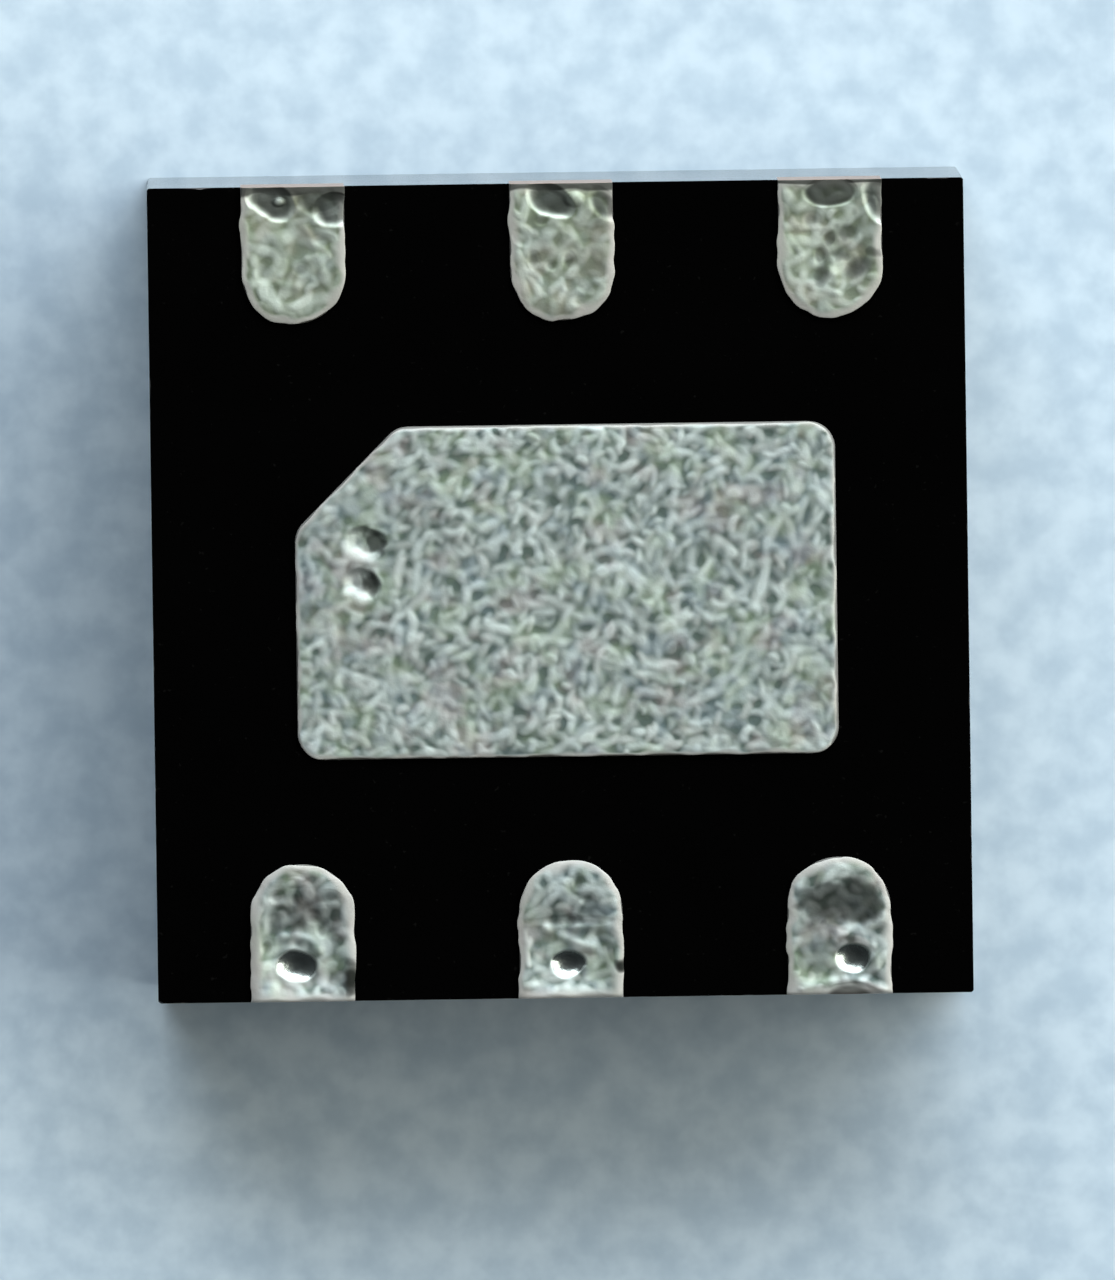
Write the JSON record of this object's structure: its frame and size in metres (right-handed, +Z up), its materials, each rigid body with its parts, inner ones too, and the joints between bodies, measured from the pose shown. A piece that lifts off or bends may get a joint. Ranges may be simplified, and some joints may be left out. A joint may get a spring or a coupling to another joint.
{
  "type": "dfn chip",
  "caption": "Square black no-lead semiconductor package lying solder side up, with a central thermal pad with one cut corner and tin-plated leads along two sides.",
  "frame": {"origin": "centre of the marking face, on the surface that the chip lies on", "axes": "+Z up out of the solder faces, +X along the rows of leads, +Y from the row of leads 4 to 6 towards the row of leads 1 to 3; the pad's cut corner is at -X +Y"},
  "size_m": [0.002, 0.002, 0.0008],
  "materials": {
    "mould_compound": "black filled epoxy, matte on the moulded faces and saw-marked on the four sides",
    "tin_plate": "matte tin plating over copper with a fine grain, bare copper at the sawn ends",
    "die_attach_epoxy": "silver-filled epoxy",
    "silicon": "polished silicon",
    "gold_wire": "drawn gold wire"
  },
  "bodies": {
    "root": {"mould_body": "mould_compound", "exposed_pad": "tin_plate", "lead_1": "tin_plate", "lead_2": "tin_plate", "lead_3": "tin_plate", "lead_4": "tin_plate", "lead_5": "tin_plate", "lead_6": "tin_plate", "die_attach": "die_attach_epoxy", "silicon_die": "silicon", "bond_wire_1": "gold_wire", "bond_wire_2": "gold_wire", "bond_wire_3": "gold_wire", "bond_wire_4": "gold_wire", "bond_wire_5": "gold_wire", "bond_wire_6": "gold_wire"}
  },
  "joints": []
}
